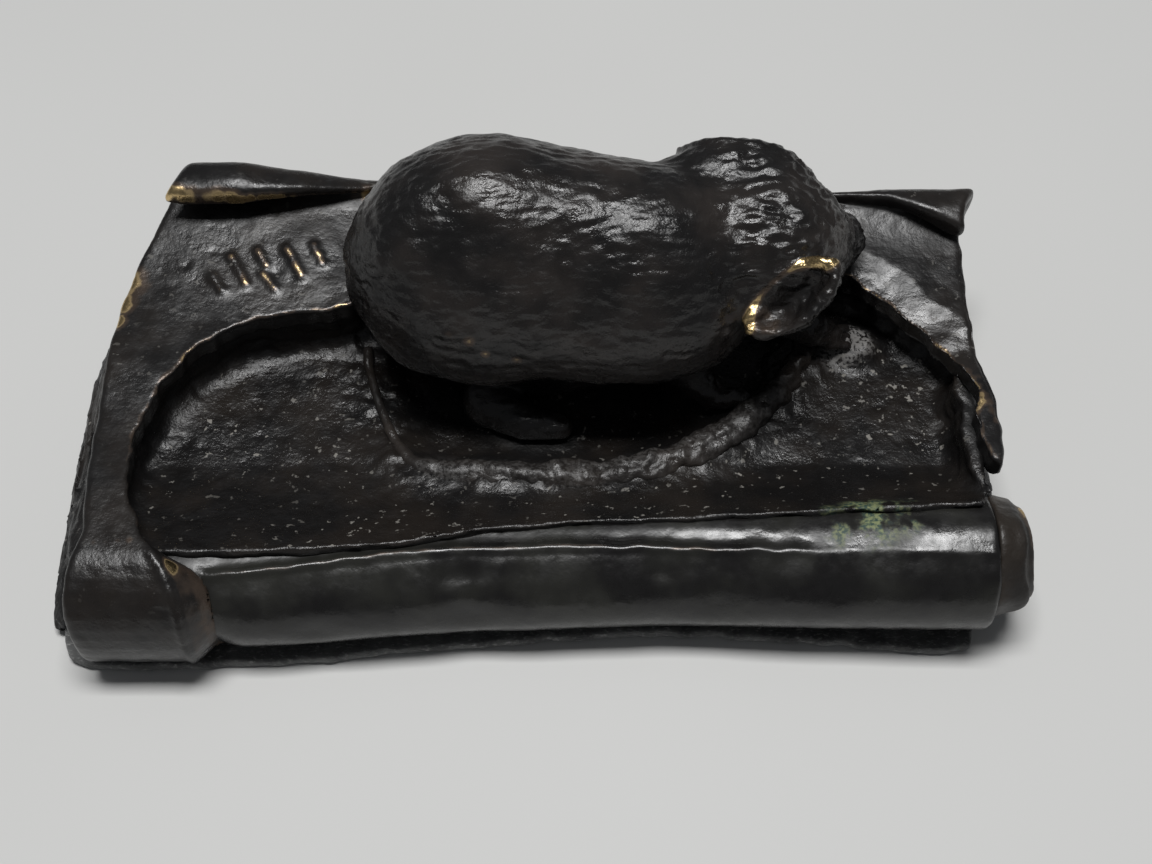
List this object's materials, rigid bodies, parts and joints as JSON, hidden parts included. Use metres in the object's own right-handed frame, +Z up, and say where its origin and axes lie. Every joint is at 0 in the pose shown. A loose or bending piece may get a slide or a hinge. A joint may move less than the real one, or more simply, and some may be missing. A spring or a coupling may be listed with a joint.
{
  "type": "paperweight",
  "caption": "Cast bronze paperweight: a mouse crouching on a torn parchment leaf with a curled back lip and a rolled front edge, on a felt pad.",
  "frame": {"origin": "centre of the footprint on the underside of the felt pad", "axes": "+X along the width towards the mouse's nose, +Y towards the curled back lip, +Z up"},
  "size_m": [0.095, 0.0499, 0.0351],
  "materials": {
    "patinated_bronze": "dark brown-black patina, satin, rubbed to brass on the high edges",
    "worn_bronze": "dark patina worn brown and brassy",
    "felt": "thin dark felt",
    "steel": "plain steel",
    "plain_brass": "plain brass"
  },
  "bodies": {
    "root": {"felt_pad": "felt", "scroll_body": "patinated_bronze", "torn_leaf": "patinated_bronze", "front_roll": "patinated_bronze", "roll_core": "worn_bronze", "mouse": "patinated_bronze", "mouse_tail": "patinated_bronze", "fixing_screw": "steel", "fixing_washer": "plain_brass"}
  },
  "joints": []
}
